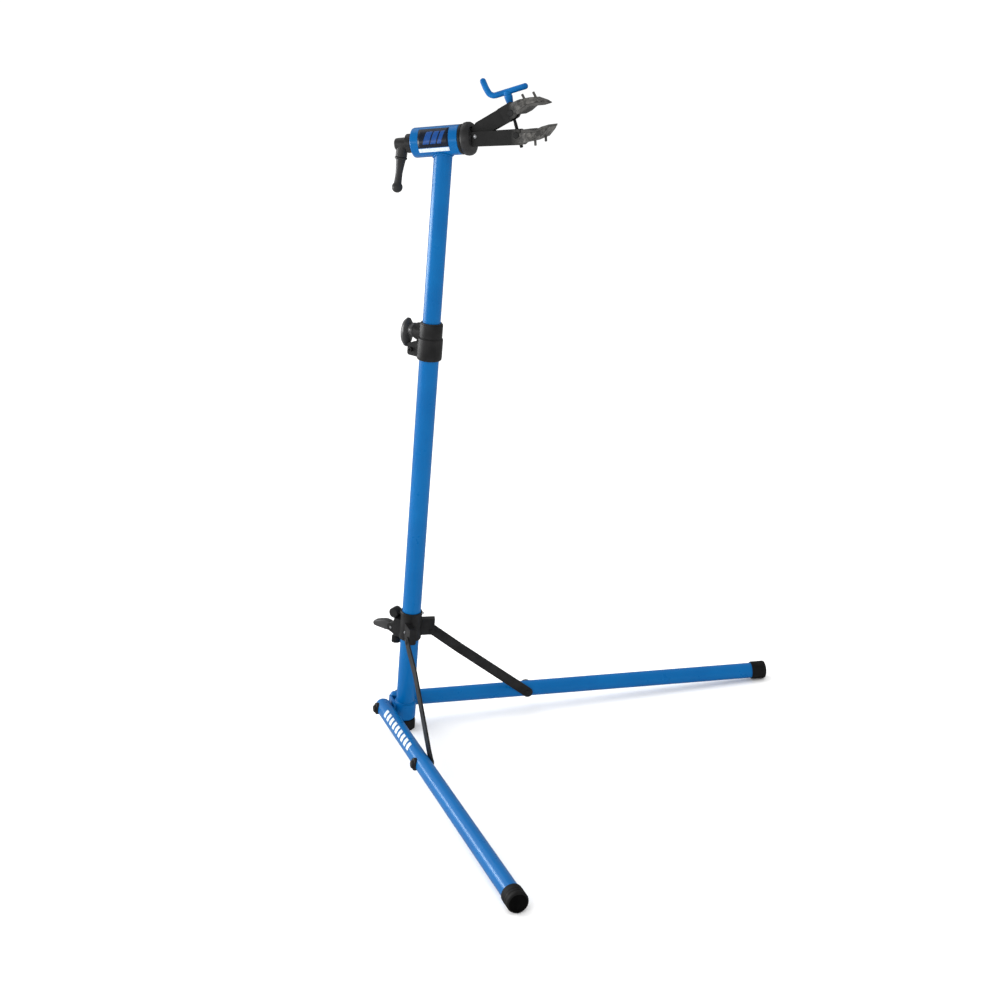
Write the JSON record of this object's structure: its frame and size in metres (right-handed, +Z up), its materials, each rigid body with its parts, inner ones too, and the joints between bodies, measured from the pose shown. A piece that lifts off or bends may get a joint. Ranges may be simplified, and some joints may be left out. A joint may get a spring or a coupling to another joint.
{
  "type": "bike repair stand",
  "caption": "Folding home repair stand for a bicycle: a leaning telescopic mast on two folding strutted legs, with a rotating screw-clamp head.",
  "frame": {"origin": "middle of the mast foot's flat underside, on the floor", "axes": "+Z up; +X the side the mast leans to, in the plane that halves the angle between the legs; +Y the left of someone standing behind the mast and facing +X"},
  "size_m": [0.7607, 1.2476, 1.5034],
  "materials": {
    "blue_paint": "gloss blue powder coat",
    "black_plastic": "fine textured moulded black",
    "black_rubber": "matte black",
    "black_steel": "textured black coat",
    "bare_steel": "bright zinc",
    "blue_dip": "dipped blue vinyl",
    "nylon": "dark nylon"
  },
  "bodies": {
    "base": {"lower_mast_tube": "blue_paint", "mast_foot": "black_rubber", "base_bracket": "blue_paint", "height_collar_body": "black_plastic", "height_collar_bushing": "nylon", "height_collar_bolt": "black_steel", "height_collar_nut": "black_steel", "left_pivot_stud": "black_steel", "right_pivot_stud": "black_steel", "left_pivot_nut": "black_steel", "right_pivot_nut": "black_steel"},
    "left_leg": {"left_leg_tube": "blue_paint", "left_leg_cap": "black_rubber", "left_pivot_washer": "black_plastic", "left_strut_saddle": "black_plastic", "left_strut_bolt": "black_steel", "left_strut_nut": "black_steel"},
    "right_leg": {"right_leg_tube": "blue_paint", "right_leg_cap": "black_rubber", "right_pivot_washer": "black_plastic", "right_strut_saddle": "black_plastic", "right_strut_bolt": "black_steel", "right_strut_nut": "black_steel"},
    "fold_collar": {"fold_collar_body": "black_plastic", "left_collar_rivet": "black_steel", "right_collar_rivet": "black_steel", "fold_lever_pin": "bare_steel", "fold_collar_screw": "bare_steel", "fold_collar_bolt": "bare_steel"},
    "left_strut_arm": {"left_strut": "black_steel", "left_strut_rivet": "black_steel"},
    "right_strut_arm": {"right_strut": "black_steel", "right_strut_rivet": "black_steel"},
    "collar_lever": {"fold_lever": "black_plastic"},
    "collar_nut": {"fold_thumb_nut": "black_plastic"},
    "knob": {"height_knob": "black_plastic", "height_knob_stem": "bare_steel"},
    "slider": {"slide_plug": "nylon"},
    "upper_mast": {"upper_mast_tube": "blue_paint", "clamp_barrel": "blue_paint", "barrel_rear_bushing": "nylon", "barrel_front_bushing": "nylon", "barrel_front_ring": "black_plastic", "barrel_rear_washer": "black_plastic"},
    "lock_crank": {"crank_hub": "black_plastic", "crank_grip": "black_plastic"},
    "clamp_head": {"head_spindle": "bare_steel", "head_hub": "black_plastic", "lower_jaw": "black_steel", "lower_jaw_pad": "black_rubber", "jaw_pin": "bare_steel"},
    "jaw": {"upper_jaw": "black_steel", "upper_jaw_pad": "black_rubber"},
    "lower_cross_pin": {"lower_trunnion": "black_steel"},
    "upper_cross_pin": {"upper_trunnion": "black_steel"},
    "screw_and_handle": {"clamp_screw": "black_steel", "clamp_screw_collar": "black_steel", "clamp_handle_boss": "blue_dip", "clamp_handle": "blue_dip"}
  },
  "joints": [
    {"name": "left_leg_fold", "type": "hinge", "parent": "base", "child": "left_leg", "pos_m": [-0.02854, 0.0313, 0.06001], "axis": [0.6155, -0.7793, -0.1174], "range_deg": [0, 81.9]},
    {"name": "right_leg_fold", "type": "hinge", "parent": "base", "child": "right_leg", "pos_m": [-0.02854, -0.0313, 0.06001], "axis": [-0.6155, -0.7793, 0.1174], "range_deg": [0, 81.9]},
    {"name": "fold_collar_slide", "type": "slide", "parent": "base", "child": "fold_collar", "axis": [0.1874, 0, 0.9823], "range_m": [0, 0.4127]},
    {"name": "left_strut_swing", "type": "hinge", "parent": "fold_collar", "child": "left_strut_arm", "pos_m": [0.08776, 0.03196, 0.24795], "axis": [-0.6155, 0.7793, 0.1174], "range_deg": [0, 65.4]},
    {"name": "right_strut_swing", "type": "hinge", "parent": "fold_collar", "child": "right_strut_arm", "pos_m": [0.08776, -0.03196, 0.24795], "axis": [0.6155, 0.7793, -0.1174], "range_deg": [0, 65.4]},
    {"name": "fold_lever_swing", "type": "hinge", "parent": "fold_collar", "child": "collar_lever", "pos_m": [0.00302, 0, 0.26666], "axis": [0, 1, 0], "range_deg": [-45, 35]},
    {"name": "thumb_nut_turn", "type": "hinge", "parent": "fold_collar", "child": "collar_nut", "pos_m": [0.00479, 0, 0.23323], "axis": [0.1874, 0, 0.9823], "range_deg": [-180, 180]},
    {"name": "height_knob_turn", "type": "hinge", "parent": "base", "child": "knob", "pos_m": [0.14964, 0, 0.98083], "axis": [-0.9823, 0, 0.1874], "range_deg": [-180, 180]},
    {"name": "height_slide", "type": "slide", "parent": "base", "child": "slider", "axis": [0.1874, 0, 0.9823], "range_m": [-0.34, 0.067]},
    {"name": "mast_swivel", "type": "hinge", "parent": "slider", "child": "upper_mast", "pos_m": [0.26404, 0, 1.38414], "axis": [0.1874, 0, 0.9823], "continuous": true},
    {"name": "head_spin", "type": "hinge", "parent": "upper_mast", "child": "clamp_head", "pos_m": [0.26404, 0, 1.38414], "axis": [0.9727, 0.2318, 0.0052], "continuous": true},
    {"name": "crank_turn", "type": "hinge", "parent": "upper_mast", "child": "lock_crank", "pos_m": [0.26404, 0, 1.38414], "axis": [0.9727, 0.2318, 0.0052], "range_deg": [-150, 150]},
    {"name": "jaw_swing", "type": "hinge", "parent": "clamp_head", "child": "jaw", "pos_m": [0.33659, 0.01729, 1.38843], "axis": [0.2318, -0.9728, 0], "range_deg": [-7.9, 11]},
    {"name": "lower_cross_pin_turn", "type": "hinge", "parent": "clamp_head", "child": "lower_cross_pin", "pos_m": [0.4236, 0.03802, 1.38487], "axis": [0.2318, -0.9728, 0], "range_deg": [-4, 5.6]},
    {"name": "upper_cross_pin_turn", "type": "hinge", "parent": "jaw", "child": "upper_cross_pin", "pos_m": [0.41473, 0.03591, 1.42947], "axis": [0.2318, -0.9728, 0], "range_deg": [-5.6, 4]},
    {"name": "screw_spin", "type": "hinge", "parent": "upper_cross_pin", "child": "screw_and_handle", "pos_m": [0.41473, 0.03591, 1.42947], "axis": [-0.1947, -0.0464, 0.9798], "range_deg": [-1150, 1600]}
  ],
  "couplings": [
    {"joint": "right_leg_fold", "follows": "left_leg_fold", "ratio": 1},
    {"joint": "fold_collar_slide", "follows": "left_leg_fold", "m_per_rad": 0.28867},
    {"joint": "left_strut_swing", "follows": "left_leg_fold", "ratio": 0.79664},
    {"joint": "right_strut_swing", "follows": "left_leg_fold", "ratio": 0.79664},
    {"joint": "jaw_swing", "follows": "screw_spin", "ratio": 0.0068},
    {"joint": "lower_cross_pin_turn", "follows": "screw_spin", "ratio": 0.0034},
    {"joint": "upper_cross_pin_turn", "follows": "screw_spin", "ratio": -0.0034}
  ]
}
